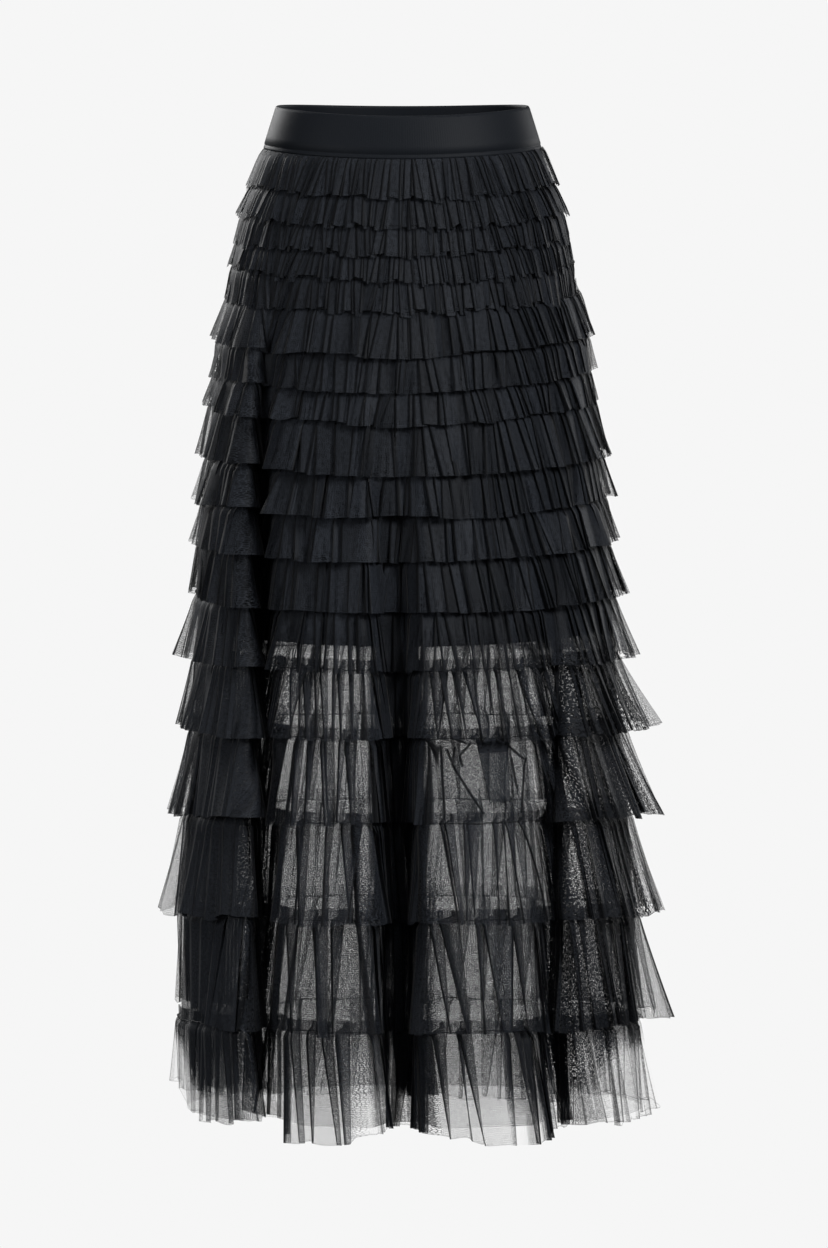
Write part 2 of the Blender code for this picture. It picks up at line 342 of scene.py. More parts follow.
def base_frame(level, angle):
    """Points of the base skirt with the level directions along it and away from it."""
    step = 0.004
    ahead = base_point(level, angle + step)
    behind = base_point(level, angle - step)
    along = ahead - behind
    along[..., 2] = 0.0
    along /= np.linalg.norm(along, axis=-1, keepdims=True)
    out = np.stack([along[..., 1], -along[..., 0], np.zeros(along.shape[:-1])], axis=-1)
    return base_point(level, angle), along, out


def ring_length(level):
    """Angles round a ring and the length along it at each of them."""
    angles = np.linspace(0.0, math.tau, 4001)
    points = base_point(np.full_like(angles, level), angles)
    steps = np.linalg.norm(np.diff(points, axis=0), axis=1)
    return angles, np.concatenate([[0.0], np.cumsum(steps)])


def side_share(angle):
    """1 at the very sides of the skirt, 0 on its front and back."""
    return smooth_step((np.abs(np.sin(angle)) - 0.90) / 0.08)


def by_place(places, angle):
    """The fields of a table of places round the skirt, after its degrees, at these angles."""
    degrees, *fields = zip(*places)
    values = [np.interp(front_degrees(angle), degrees, field) for field in fields]
    return values[0] if len(values) == 1 else values


def fullness(level, angle):
    """Share of bunched gathers, full above the lining's hem except at the very sides."""
    turned = front_degrees(angle)
    below = by_place(FULLNESS, angle)
    last = smooth_step((level - HEM + 1.02) / 0.04) * smooth_step((turned - LAST_BUNCHED[0]) / 1.5)
    below = np.maximum(below, LAST_BUNCHED_SHARE * last * (turned < LAST_BUNCHED[1]))
    side = np.abs(np.sin(angle))
    above = 1.0 - 0.78 * smooth_step((side - 0.975) / 0.024) * smooth_step((level - 4.0) / 3.0)
    return above + (below - above) * smooth_step((level - LINING_HEM + 0.5) / 0.7)


def window_share(number, angle):
    """How the flat cloth's layers change down the front, more on its left half."""
    change = np.where(np.sin(angle) < 0.0, 0.24, 0.15)
    return 1.0 + change * max(0, number - SHEER_FROM) - 1.6 * change


def within(span, angle, softness):
    """1 between two places round the skirt, in degrees, with soft ends of this width."""
    degrees = np.degrees((angle + math.pi) % math.tau - math.pi)
    start = smooth_step((degrees - span[0]) / softness + 0.5)
    return start * (1.0 - smooth_step((degrees - span[1]) / softness + 0.5))


# Meshes and materials


def grid_mesh(name, points, closed, flat_width, flat_length, **fields):
    """A sheet through rows of points, with its flat cut in metres as its UV map."""
    rows, columns = points.shape[:2]
    steps = columns if closed else columns - 1
    row, step = np.meshgrid(np.arange(rows - 1), np.arange(steps), indexing="ij")
    following = (step + 1) % columns
    corners = [row * columns + step, (row + 1) * columns + step]
    corners += [(row + 1) * columns + following, row * columns + following]
    faces = np.stack(corners, axis=-1).reshape(-1, 4)
    mesh = bpy.data.meshes.new(name)
    mesh.vertices.add(rows * columns)
    mesh.vertices.foreach_set("co", points.reshape(-1).astype(np.float32))
    mesh.loops.add(faces.size)
    mesh.loops.foreach_set("vertex_index", faces.reshape(-1).astype(np.int32))
    mesh.polygons.add(len(faces))
    mesh.polygons.foreach_set("loop_start", np.arange(0, faces.size, 4, dtype=np.int32))
    mesh.update(calc_edges=True)
    across = np.stack([step, step, step + 1, step + 1], axis=-1).reshape(-1) / steps
    down = np.stack([row, row + 1, row + 1, row], axis=-1).reshape(-1) / (rows - 1)
    places = np.stack([across * flat_width, -down * flat_length], axis=-1)
    mesh.uv_layers.new(name="cut").data.foreach_set("uv", places.reshape(-1).astype(np.float32))
    for field, values in fields.items():
        values = np.broadcast_to(values, (rows, columns)).reshape(-1).astype(np.float32)
        mesh.attributes.new(field, "FLOAT", "POINT").data.foreach_set("value", values)
    mesh.shade_smooth()
    piece = bpy.data.objects.new(name, mesh)
    bpy.context.scene.collection.objects.link(piece)
    return piece


class Nodes:
    """Short calls for building a material's node tree."""

    def __init__(self, material):
        self.tree = material.node_tree
        self.shader = self.tree.nodes["Principled BSDF"]

    def add(self, kind, **settings):
        node = self.tree.nodes.new(kind)
        for key, value in settings.items():
            setattr(node, key, value)
        return node

    def link(self, source, target):
        self.tree.links.new(source, target)

    def feed(self, socket, value):
        if isinstance(value, (int, float)):
            socket.default_value = value
        else:
            self.link(value, socket)

    def math(self, operation, first, second=0.0, third=None):
        node = self.add("ShaderNodeMath", operation=operation)
        self.feed(node.inputs[0], first)
        self.feed(node.inputs[1], second)
        if third is not None:
            self.feed(node.inputs[2], third)
        return node.outputs[0]

    def spread(self, value, low, high, to_low, to_high):
        node = self.add("ShaderNodeMapRange", interpolation_type="SMOOTHSTEP")
        for socket, number in zip(node.inputs, (value, low, high, to_low, to_high)):
            self.feed(socket, number)
        return node.outputs[0]

    def place(self):
        """The flat cut of the piece, in metres."""
        return self.add("ShaderNodeUVMap", uv_map="cut").outputs["UV"]

    def field(self, name):
        """A number that the mesh holds at each of its points."""
        return self.add("ShaderNodeAttribute", attribute_name=name).outputs["Fac"]

    def noise(self, place, across, down, detail=1.0):
        """Soft noise on the flat cut, with this many spots to the metre across and down."""
        mapping = self.add("ShaderNodeMapping")
        self.link(place, mapping.inputs["Vector"])
        mapping.inputs["Scale"].default_value = (across, down, 1.0)
        noise = self.add("ShaderNodeTexNoise", noise_dimensions="2D")
        self.link(mapping.outputs["Vector"], noise.inputs["Vector"])
        noise.inputs["Scale"].default_value = 1.0
        noise.inputs["Detail"].default_value = detail
        return noise.outputs["Fac"]

    def tint(self, share, dark, light):
        node = self.add("ShaderNodeMix", data_type="RGBA")
        self.feed(node.inputs["Factor"], share)
        node.inputs["A"].default_value = (*dark, 1.0)
        node.inputs["B"].default_value = (*light, 1.0)
        return node.outputs["Result"]

    def bump(self, height, strength, distance):
        node = self.add("ShaderNodeBump")
        node.inputs["Strength"].default_value = strength
        node.inputs["Distance"].default_value = distance
        self.link(height, node.inputs["Height"])
        return node.outputs["Normal"]


def new_material(name, roughness, specular, sheen=0.0, sheen_roughness=0.5):
    material = bpy.data.materials.new(name)
    material.use_nodes = True
    nodes = Nodes(material)
    nodes.shader.inputs["Roughness"].default_value = roughness
    nodes.shader.inputs["Specular IOR Level"].default_value = specular
    nodes.shader.inputs["Sheen Weight"].default_value = sheen
    nodes.shader.inputs["Sheen Roughness"].default_value = sheen_roughness
    return material, nodes


def net(nodes, pitch):
    """1 on the threads of a fine six-sided net and 0 in its holes."""
    cells = nodes.add("ShaderNodeTexVoronoi", voronoi_dimensions="2D", feature="DISTANCE_TO_EDGE")
    nodes.link(nodes.place(), cells.inputs["Vector"])
    cells.inputs["Scale"].default_value = 1.0 / pitch
    cells.inputs["Randomness"].default_value = 0.85
    return nodes.spread(cells.outputs["Distance"], 0.03, 0.20, 1.0, 0.0)


NET_DARK = (0.003, 0.0035, 0.0045)
HOLE_ALPHA = 0.03
THREAD_ALPHA = 0.55


def tulle_material(name, light, pitch):
    """Sheer black net, open between its threads. Its fine gathers count as layers of it, with more
    in each tuck and a dense line along the tuck's edge. Its colour carries painted shade: darker
    along the tucks' edges, and lighter or darker for each gather."""
    material, nodes = new_material(name, 0.60, 0.10, 0.04, 0.45)
    place = nodes.place()
    layers = nodes.field("layers")
    tuck = nodes.field("tuck")
    threads = net(nodes, pitch)
    one = nodes.math("MULTIPLY_ADD", threads, HOLE_ALPHA - THREAD_ALPHA, 1.0 - HOLE_ALPHA)
    grain = nodes.noise(place, 420.0, 420.0)

    # Streaks along the gathers where the layers are neither few nor many, specks where light
    # shows through, and a fine unevenness all over
    streaks = nodes.noise(place, 300.0, 20.0, 2.0)
    some = nodes.spread(layers, 4.5, 7.0, 0.0, 1.0)
    many = nodes.spread(layers, 8.5, 11.0, 1.0, 0.0)
    partly = nodes.math("MULTIPLY", some, many)
    swing = nodes.math("MULTIPLY_ADD", partly, 0.72, 0.06)
    centred = nodes.spread(streaks, 0.34, 0.66, -1.0, 1.0)
    share = nodes.math("MULTIPLY_ADD", centred, swing, 1.0)
    specks = nodes.noise(place, 900.0, 520.0)
    specks = nodes.spread(specks, 0.36, 0.60, -1.0, 1.0)
    glitter = nodes.field("glitter")
    share = nodes.math("MULTIPLY", share, nodes.math("MULTIPLY_ADD", specks, glitter, 1.0))
    share = nodes.math("MULTIPLY", share, nodes.spread(grain, 0.25, 0.75, 0.78, 1.22))

    # Layers of the tucks and of the line along their edges
    crisp = nodes.field("crisp")
    folded = nodes.math("MULTIPLY", nodes.spread(tuck, -0.1, 0.1, 0.0, 1.0), crisp)
    # Along each tuck's edge: more layers, and painted shade in the colour below
    tuck_edge_layers_and_shade = nodes.spread(nodes.math("ABSOLUTE", tuck), 0.30, 1.00, 1.0, 0.0)
    tuck_edge_layers_and_shade = nodes.math("MULTIPLY", tuck_edge_layers_and_shade, crisp)
    layers = nodes.math("MULTIPLY_ADD", folded, TUCK_LAYERS, layers)
    layers = nodes.math("MULTIPLY_ADD", tuck_edge_layers_and_shade, FOLD_LINE_LAYERS, layers)

    # A few layers leave their holes open, and the rest fill them
    counted = nodes.math("MULTIPLY", layers, share)
    netted = nodes.math("MINIMUM", counted, NETTED_LAYERS)
    filled = nodes.math("SUBTRACT", counted, netted)
    through = nodes.math("POWER", one, netted)
    through = nodes.math("MULTIPLY", through, nodes.math("POWER", FILLED_THROUGH, filled))
    nodes.link(nodes.math("SUBTRACT", 1.0, through), nodes.shader.inputs["Alpha"])

    # Lighter on the threads, with painted shade along the tucks' edges, and each gather lighter or
    # darker by its painted shade
    tone = nodes.math("MULTIPLY_ADD", threads, 0.35, nodes.math("MULTIPLY", grain, 0.65))
    tone = nodes.math("MULTIPLY", tone, nodes.math("MULTIPLY_ADD", tuck_edge_layers_and_shade, -0.9, 1.0))
    # Each gather's painted shade, held by the mesh
    shade = nodes.field("shade")
    tone = nodes.math("MULTIPLY", tone, nodes.math("MULTIPLY_ADD", shade, 0.90, 0.45))
    nodes.link(nodes.tint(tone, NET_DARK, light), nodes.shader.inputs["Base Color"])
    return material


def satin_material():
    material, nodes = new_material("satin_elastic", 0.55, 0.09, 0.02, 0.4)
    place = nodes.place()
    ribs = nodes.add("ShaderNodeTexWave", wave_type="BANDS", bands_direction="X")
    nodes.link(place, ribs.inputs["Vector"])
    ribs.inputs["Scale"].default_value = 160.0
    ribs.inputs["Distortion"].default_value = 0.6
    grain = nodes.noise(place, 900.0, 2600.0, 2.0)
    height = nodes.math("MULTIPLY_ADD", ribs.outputs["Fac"], 0.5, grain)
    nodes.link(nodes.bump(height, 0.35, 0.0002), nodes.shader.inputs["Normal"])
    colour = nodes.tint(grain, (0.0066, 0.0082, 0.0110), (0.0100, 0.0119, 0.0156))
    nodes.link(colour, nodes.shader.inputs["Base Color"])
    return material


def lining_material():
    material, nodes = new_material("lining_cloth", 0.8, 0.06)
    place = nodes.place()
    knit = nodes.noise(place, 1400.0, 700.0)
    nodes.link(nodes.bump(knit, 0.3, 0.0002), nodes.shader.inputs["Normal"])
    colour = nodes.tint(knit, (0.0040, 0.0045, 0.0058), (0.0070, 0.0078, 0.0095))
    nodes.link(colour, nodes.shader.inputs["Base Color"])
    return material


def thread_material():
    material, nodes = new_material("sewing_thread", 0.6, 0.15)
    twist = nodes.noise(nodes.place(), 800.0, 1.0)
    colour = nodes.tint(twist, (0.0035, 0.0038, 0.0050), (0.0075, 0.0080, 0.0100))
    nodes.link(colour, nodes.shader.inputs["Base Color"])
    return material


def dress(piece, material, slot, *nodes):
    """Gives a piece its material, hangs it under the root body and hides the solids it stands in
    for.
    """
    piece.data.materials.append(material)
    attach(piece, "root")
    if nodes:
        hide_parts(*nodes)


# Waistband, lining and base skirt


def make_waistband(material):
    """The elastic ring: a smooth wall with rounded edges and a stitched line near its foot."""
    Ring = namedtuple("Ring", "height inside")
    outer = [Ring(0.0, 0.0014), Ring(0.012, 0.0007), Ring(0.05, 0.0006), Ring(0.09, 0.0006)]
    outer += [Ring(0.105, 0.0009), Ring(0.120, 0.0001), Ring(0.30, 0.0), Ring(0.60, 0.0)]
    outer += [Ring(0.93, 0.0), Ring(0.985, 0.0003), Ring(1.0, 0.0012)]
    inner = [Ring(0.985, WAISTBAND_WALL - 0.0003), Ring(0.93, WAISTBAND_WALL)]
    inner += [Ring(0.5, WAISTBAND_WALL), Ring(0.05, WAISTBAND_WALL)]
    inner += [Ring(0.012, WAISTBAND_WALL - 0.0003)]
    angles = np.linspace(0.0, math.tau, 361)[:-1]
    _, _, out = base_frame(np.zeros_like(angles), angles)
    bottom = base_point(np.zeros_like(angles), angles) + out * WAISTBAND_OVERHANG
    across = WAISTBAND_TOP_HALF_WIDTH * np.sin(angles)
    along = -WAISTBAND_TOP_HALF_DEPTH * np.cos(angles)
    height = WAISTBAND_HEIGHT / 2 - WAISTBAND_TOP_DIP * front_dip(angles)
    top = np.stack([across, along, height], axis=-1)
    rings = []
    for ring in outer + inner:
        rings.append(bottom + (top - bottom) * ring.height - out * ring.inside)
    rings.append(rings[0])
    points = np.stack(rings)
    piece = grid_mesh("satin_waistband", points, True, WAISTBAND_LENGTH, 2 * WAISTBAND_HEIGHT)
    close_tube(piece)
    dress(piece, material, "satin_elastic", "waistband")


def close_tube(piece):
    """Welds the last row of a grid to its first."""
    mesh = bmesh.new()
    mesh.from_mesh(piece.data)
    bmesh.ops.remove_doubles(mesh, verts=mesh.verts[:], dist=1e-6)
    bmesh.ops.recalc_face_normals(mesh, faces=mesh.faces[:])
    mesh.to_mesh(piece.data)
    mesh.free()


Panel = namedtuple("Panel", "name node span flat_layers most_layers")
FRONT_SPAN = (-math.pi / 2, math.pi / 2)
BACK_SPAN = (math.pi / 2, 3 * math.pi / 2)
BASE_PANELS = (
    Panel("base_mesh_front", "base_front", FRONT_SPAN, *FRONT_BASE_LAYERS),
    Panel("base_mesh_back", "base_back", BACK_SPAN, *BACK_BASE_LAYERS),
)
LINING_PANELS = (
    Panel("lining_slip_front", "lining_front", FRONT_SPAN, 0.0, 0.0),
    Panel("lining_slip_back", "lining_back", BACK_SPAN, 0.0, 0.0),
)


def make_panel(panel, levels, steps, inside, tuck, material, slot):
    """Half of the base skirt or lining: its rows at these levels, how far it lies inside the
    base's surface, and how far its top goes up under the waistband."""
    angles = np.linspace(*panel.span, steps)
    level, angle = np.meshgrid(levels, angles, indexing="ij")
    points, _, out = base_frame(level, angle)
    points = points - out * inside[:, None, None]
    points[0, :, 2] += tuck
    widest = np.linalg.norm(np.diff(points[-1], axis=0), axis=1).sum()
    length = np.linalg.norm(np.diff(points[:, steps // 2], axis=0), axis=1).sum()
    layers, glitter = base_layers(panel, level, angle)
    fields = {"layers": layers, "tuck": NO_TUCK, "crisp": 0.0, "shade": 0.5, "glitter": glitter}
    piece = grid_mesh(panel.name, points, False, widest, length, **fields)
    dress(piece, material, slot, panel.node)


def base_layers(panel, level, angle):
    """How many layers of net a panel of the base counts for, and how much it glitters."""
    aside = np.abs(np.sin(angle))
    at_side = smooth_step((aside - 0.62) / 0.10) * smooth_step((level - LINING_HEM) / 0.5)
    flat = panel.flat_layers * (1.0 - 0.5 * at_side * (panel.span == BACK_SPAN))
    if panel.span == FRONT_SPAN:
        on_left = smooth_step(0.5 - np.sin(angle) / 0.1)
        lower = smooth_step((level - 14.0) / 1.5)
        flat = flat + on_left * (1.9 * lower - 0.7) + (1.0 - on_left) * 0.4
    layers = flat + (panel.most_layers - flat) * fullness(level, angle) ** 2.5
    glitter = np.minimum(by_place(GLITTERS, angle) / FULL_GLITTER, 1.0)
    glitter = glitter * smooth_step((level - LINING_HEM) / 0.3)
    layers = layers * (1.0 - 0.6 * glitter) + SIDE_BASE_LAYERS * side_share(angle)
    thinned = 0.35 + 0.45 * smooth_step((aside - 0.76) / 0.1)
    layers = layers * (1.0 - thinned * smooth_step((level - BASE_THIN) / 0.5))
    return layers, BASE_GLITTER * glitter


def make_base(material):
    levels = np.concatenate([np.linspace(0, 12, 37), np.linspace(12.25, BASE_HEM, 24)])
    for panel in BASE_PANELS:
        make_panel(panel, levels, 420, np.zeros_like(levels), 0.0, material, "base_tulle")


def make_lining(material):
    levels = np.linspace(0, LINING_HEM, 32)
    inside = LINING_GAP_TOP + (LINING_GAP_HEM - LINING_GAP_TOP) * np.clip(levels / 12.0, 0.0, 1.0)
    for panel in LINING_PANELS:
        make_panel(panel, levels, 200, inside, LINING_TUCK, material, "lining_cloth")


# Ruffles


def pleat_edges(rng, pitches, places):
    """Where the gathers of one ruffle start, round its ring, closer where the cloth is full."""
    crowd = np.concatenate([[0.0], np.cumsum(1.0 / pitches[:-1] * np.diff(places))])
    count = int(round(crowd[-1] / GATHERS_PER_WAVE)) * GATHERS_PER_WAVE
    marks = np.arange(count) + 0.42 * rng.uniform(-1.0, 1.0, count)
    marks[0] = 0.0
    marks = np.append(marks, count) * crowd[-1] / count
    return np.interp(marks, crowd, places)


def round_values(values, spots, total):
    """Values at even places round a ring, read smoothly at these places along it."""
    size = len(values)
    spot = spots / total * size
    low = np.floor(spot).astype(int)
    share = smooth_step(spot - low)
    return values[low % size] * (1 - share) + values[(low + 1) % size] * share


Gathers = namedtuple("Gathers", "edges count pleat phase ridge turn top width place angle")


def knife_gathers(rng, pitches, ring_places, ring_angles):
    """Knife gathers round one ring: a short face tucked behind, then a long one that turns to
    the right, and here and there one that turns to the left."""
    edges = pleat_edges(rng, pitches, ring_places)
    count = len(edges) - 1
    peak = np.clip(0.20 + 0.10 * rng.normal(0.0, 1.0, count), 0.08, 0.45)
    rise = np.arange(HIDDEN_STEPS) / HIDDEN_STEPS
    face = np.arange(FACE_STEPS) / FACE_STEPS
    hidden = peak[:, None] * rise
    shown = peak[:, None] + (1.0 - peak[:, None]) * face
    phase = np.concatenate([hidden, shown], axis=1)
    ridge = np.concatenate([rise, 1.0 - face])[None, :] * np.ones((count, 1))
    swapped = rng.uniform(0.0, 1.0, count) < 0.12
    mirrored = np.concatenate([phase[:, :1], 1.0 - phase[:, :0:-1]], axis=1)
    mirrored_ridge = np.concatenate([ridge[:, :1], ridge[:, :0:-1]], axis=1)
    phase = np.where(swapped[:, None], mirrored, phase).reshape(-1)
    ridge = np.where(swapped[:, None], mirrored_ridge, ridge).reshape(-1)
    pleat = np.repeat(np.arange(count), HIDDEN_STEPS + FACE_STEPS)
    turn = np.where(swapped, -1.0, 1.0)[pleat]
    top = np.where(swapped, 1.0 - peak, peak)[pleat]
    width = np.diff(edges)[pleat]
    place = edges[pleat] + width * phase
    angle = np.interp(place, ring_places, ring_angles)
    return Gathers(edges, count, pleat, phase, ridge, turn, top, width, place, angle)


def fan_shift(angle):
    """How far the hem is carried sideways at these angles."""
    shift = np.zeros_like(angle)
    for fan in FANS:
        away = np.abs((angle - math.radians(fan.degrees) + math.pi) % math.tau - math.pi)
        shift += fan.shift * (1.0 - smooth_step(away / math.radians(fan.half_angle)))
    return shift


def ruffle_fall(number, rng, gathers, swell, total):
    """How far below its seam each row of a ruffle lies, and the row's share of the way down."""
    ruffle = RUFFLES[number]
    angle = gathers.angle
    waves = gathers.count // GATHERS_PER_WAVE
    uneven = 1.2 if number < RAGGED_RUFFLES else 0.35
    cut = 0.6 * round_values(rng.normal(0.0, 1.0, waves * 3), gathers.place, total)
    cut = cut + uneven * rng.uniform(-1.0, 1.0, gathers.count)[gathers.pleat]
    slow = round_values(rng.normal(0.0, 1.0, 16), gathers.place, total)
    heading = HEADING if number else 0.0
    length = SEAMS[number + 1].spacing
    above = np.linspace(-heading, 0.0, 3)[:-1] if number else np.array([])
    below = np.append(np.linspace(0.0, 1.0, ruffle.rows) ** 1.25 * 0.984, 1.0) * length
    fall = np.concatenate([above, below])[:, None]
    down = np.clip(fall / length, 0.0, 1.0)
    hem_change = ruffle.ragged * cut + 0.0016 * slow - 0.10 * ruffle.flare * swell
    if number == LAST_RUFFLE:
        hem_change = hem_change + by_place(HEM_PLACES, angle)[0]
    if number == LAST_RUFFLE - 1:
        hem_change = hem_change + 0.015 * smooth_step((-np.sin(angle) - 0.80) / 0.1)
    fall = fall + down * (0.002 - hem_change)[None, :]
    if number == TURNED_RUFFLE:
        fall = fall * (1.0 - 0.93 * within(TURNED_SPAN, angle, 1.6) * (fall > 0.0))
    fall = fall + 0.0008 * (fall < -0.5 * heading) * rng.normal(0.0, 1.0, len(angle))
    return fall, down


def ruffle_shade(rng, number, gathers, sheer, plain):
    """Painted shade for each gather: a random lighter or darker tone for how its face catches the
    light, and painted shade on the right of the front where it is sheer.
    """
    # A random lighter or darker tone per gather, painted in for how each face catches the light
    uneven = 0.55 + 0.45 * smooth_step((number - 4.0) / 6.0)
    shade = 0.5 + (rng.uniform(0.0, 1.0, gathers.count)[gathers.pleat] - 0.5) * uneven
    shade = shade + (0.55 - shade) * 0.85 * plain
    # Painted shade: darker on the right of the front, where the key light falls on the sheer
    # ruffles
    painted_shade_on_right = smooth_step((np.sin(gathers.angle) - 0.56) / 0.06) * (np.cos(gathers.angle) > 0.0)
    return shade * (1.0 - 0.75 * sheer * painted_shade_on_right)


def ruffle_layers(rng, number, gathers, level, fall, down, sheer, plain, side):
    """The layers that a ruffle's mesh doesn't show, how much it glitters, and how crisp the edges
    of its tucks are, which also sets how strong the painted shade along them is."""
    angle = gathers.angle
    behind = np.cos(angle) < 0.0
    bunched = fullness(level, np.broadcast_to(angle, level.shape))
    pleat_share = rng.uniform(0.75, 1.3, gathers.count)[gathers.pleat]
    flat = np.where(behind, BACK_FLAT_LAYERS, FLAT_LAYERS * window_share(number, angle))
    layers = flat + (RUFFLES[number].layers - flat) * bunched * pleat_share * (1.1 - 0.2 * down)
    layers = layers + PLAIN_LAYERS * plain
    at_side = 0.2 * smooth_step((number - 4.0) / 3.0) + 0.3 * sheer
    layers = layers * (1.0 - at_side * side)

    # Thin open slits along some gathers, through which the light behind shows
    open_place = rng.uniform(0.62, 0.92, gathers.count)[gathers.pleat]
    slit_zone = by_place(GLITTERS, angle)
    glitter = np.minimum(slit_zone / FULL_GLITTER, 1.0)
    layers = layers + GLITTER_LAYERS * glitter * sheer * (1.0 - behind)
    has_slit = rng.uniform(0.0, 1.0, gathers.count)[gathers.pleat] < slit_zone
    slit = (np.abs(gathers.phase - open_place) < 0.10) & has_slit & (number > SHEER_FROM)
    slit_rows = smooth_step((down - 0.10) / 0.1) * (1.0 - smooth_step((down - 0.82) / 0.12))
    layers = layers * (1.0 - 0.94 * slit * slit_rows)
    glitter = RUFFLE_GLITTER * glitter * smooth_step((level - LINING_HEM) / 0.3)

    # The heading is denser in front, and at the back thin enough to stay pale from the front
    in_heading = fall < 0.0015
    heading = np.where(behind, 0.35 * layers, layers + EDGE_LAYERS)
    layers = np.where(in_heading, heading, layers)
    crispness = np.where(behind, 0.25, 1.0) * np.ones_like(layers)
    crispness = crispness * np.where(in_heading, 1.0 - 0.6 * sheer, 1.0) * (1.0 - 0.75 * plain)
    if number == LAST_RUFFLE:
        _, share, start = by_place(HEM_PLACES, angle)
        glitter = glitter * (1.0 - smooth_step((down - 0.45) / 0.25))
        layers = layers * (1.0 + (share - 1.0) * smooth_step((down - start) / 0.32))
        open_hem = 1.0 - np.minimum(share, 1.0)
        softened = smooth_step((down - 0.5 * start) / 0.4)
        crispness = crispness * (1.0 - 0.78 * open_hem * softened)
    # The cut edge shows as a fine line where the cloth is sheer
    layers = layers + EDGE_LAYERS * sheer * (down > 0.99)
    return layers, glitter, crispness


def make_ruffle(number, material):
    """One gathered strip all round: its gathers, how far it falls, and how it stands out."""
    ruffle = RUFFLES[number]
    rng = np.random.default_rng(SEED + number)
    ring_angles, ring_places = ring_length(number + 0.5)
    total = ring_places[-1]
    full = fullness(number + 0.5, ring_angles)
    sheer = smooth_step((number + 0.5 - SHEER_FROM) / 1.5)
    side = side_share(ring_angles)
    pitches = ruffle.pitch * (1.0 + sheer * 0.35 * (0.5 - full)) * (1.0 + 0.8 * side)
    gathers = knife_gathers(rng, pitches, ring_places, ring_angles)
    count, pleat, ridge, turn = gathers.count, gathers.pleat, gathers.ridge, gathers.turn
    place, angle, width = gathers.place, gathers.angle, gathers.width
    side = np.interp(place, ring_places, side)
    plain = within(PLAIN_SPAN, angle, 3.0) * sheer
    height = ruffle.depth * rng.uniform(0.65, 1.25, count)[pleat] * (1.0 - 0.6 * side)
    height = height * (1.0 - 0.5 * plain)
    overlap = rng.uniform(0.6, 1.3, count)[pleat]

    # Large waves that several gathers share
    waves = count // GATHERS_PER_WAVE
    swell = round_values(rng.uniform(0.0, 1.0, waves * 2) ** 1.3, place, total)
    sway = round_values(rng.normal(0.0, 1.0, waves * 2), place, total)
    drift = np.interp(place, gathers.edges, np.append(rng.normal(0.0, 1.0, count), 0.0))

    fall, down = ruffle_fall(number, rng, gathers, swell, total)
    length = SEAMS[number + 1].spacing
    level = number + np.where(fall < 0, fall / SEAMS[number].spacing, fall / length)
    level = np.clip(level, 0.0, HEM + 0.2)
    full_angle = np.broadcast_to(angle, level.shape)
    points, along, out = base_frame(level, full_angle)
    inset = fold_inset(level, full_angle)
    room = 1.0 - 0.75 * np.clip(inset / 0.05, 0.0, 1.0)

    # How far the cloth stands out
    gather = height * (0.18 + 0.47 * smooth_step(np.abs(fall) / 0.008) + 0.35 * down)
    lift = 0.0008 + 0.0018 * smooth_step(fall / 0.006)
    sides = ruffle.left * np.clip(-np.sin(angle), 0, 1) ** 6
    sides = sides + ruffle.right * np.clip(np.sin(angle), 0, 1) ** 6
    reach = (ruffle.flare * (0.35 + 0.30 * swell) + sides) * down**1.15 * room
    reach = reach + lift + gather * ridge * (0.4 + 0.6 * room)
    wave = ruffle.wave * (1.0 + 0.6 * side) * down
    reach = reach + wave * (swell - 0.5) * room

    # Each tuck covers most of the gather beside it at the seam, and little of it at the hem
    covered = overlap * (0.62 + 0.20 * sheer - (0.22 + 0.44 * sheer) * down)
    covered = covered * np.where(fall < 0.0, 0.40, 1.0)
    top = np.where(turn > 0, gathers.top, 1.0 - gathers.top)
    shift = -turn * ridge * (covered + top) * width
    shift = shift + 0.55 * wave * sway
    shift = shift + ruffle.pitch * 0.35 * down * drift
    shift = shift + fan_shift(angle) * down * min(1.0, length / 0.05)
    points = points + out * reach[..., None] + along * shift[..., None]
    points[..., 2] += down * 0.16 * ruffle.flare * swell * (length > 0.035)

    # Painted shade for each gather
    shade = ruffle_shade(rng, number, gathers, sheer, plain)
    looks = ruffle_layers(rng, number, gathers, level, fall, down, sheer, plain, side)
    fields = dict(zip(("layers", "glitter", "crisp"), looks), shade=shade)
    # How far it is to the tuck's edge, in millimetres; the net adds layers and painted shade near
    # it
    fields["tuck"] = (gathers.top - gathers.phase) * turn * width / 0.001
    around = np.linalg.norm(np.diff(points, axis=1, append=points[:, :1]), axis=2)
    flat = (around.sum(axis=1).mean(), length + (HEADING if number else 0.0))
    piece = grid_mesh(f"tulle_ruffle_{number + 1:02d}", points, True, *flat, **fields)
    dress(piece, material, "ruffle_tulle", f"ruffle_{number + 1:02d}")


# The part of one ruffle that lies turned aside: a smooth creased corner and its doubled end

Crease = namedtuple("Crease", "left top right bottom depth")
CREASES = (
    Crease(0.03, 0.06, 0.05, 0.92, 0.0022),
    Crease(0.09, 0.10, 0.13, 0.26, 0.0026),
    Crease(0.17, 0.08, 0.13, 0.28, 0.0022),
    Crease(0.13, 0.28, 0.43, 0.90, 0.0032),
    Crease(0.33, 0.03, 0.21, 0.18, 0.0026),
    Crease(0.21, 0.18, 0.24, 0.30, 0.0018),
    Crease(0.72, 0.06, 0.88, 0.24, 0.0030),
    Crease(0.76, 0.24, 0.80, 0.60, 0.0022),
    Crease(0.90, 0.24, 0.83, 0.90, 0.0034),
    Crease(0.67, 0.72, 0.66, 0.88, 0.0018),
)
STRIP_LEFT = (0.37, 0.485)
STRIP_RIGHT = 0.705
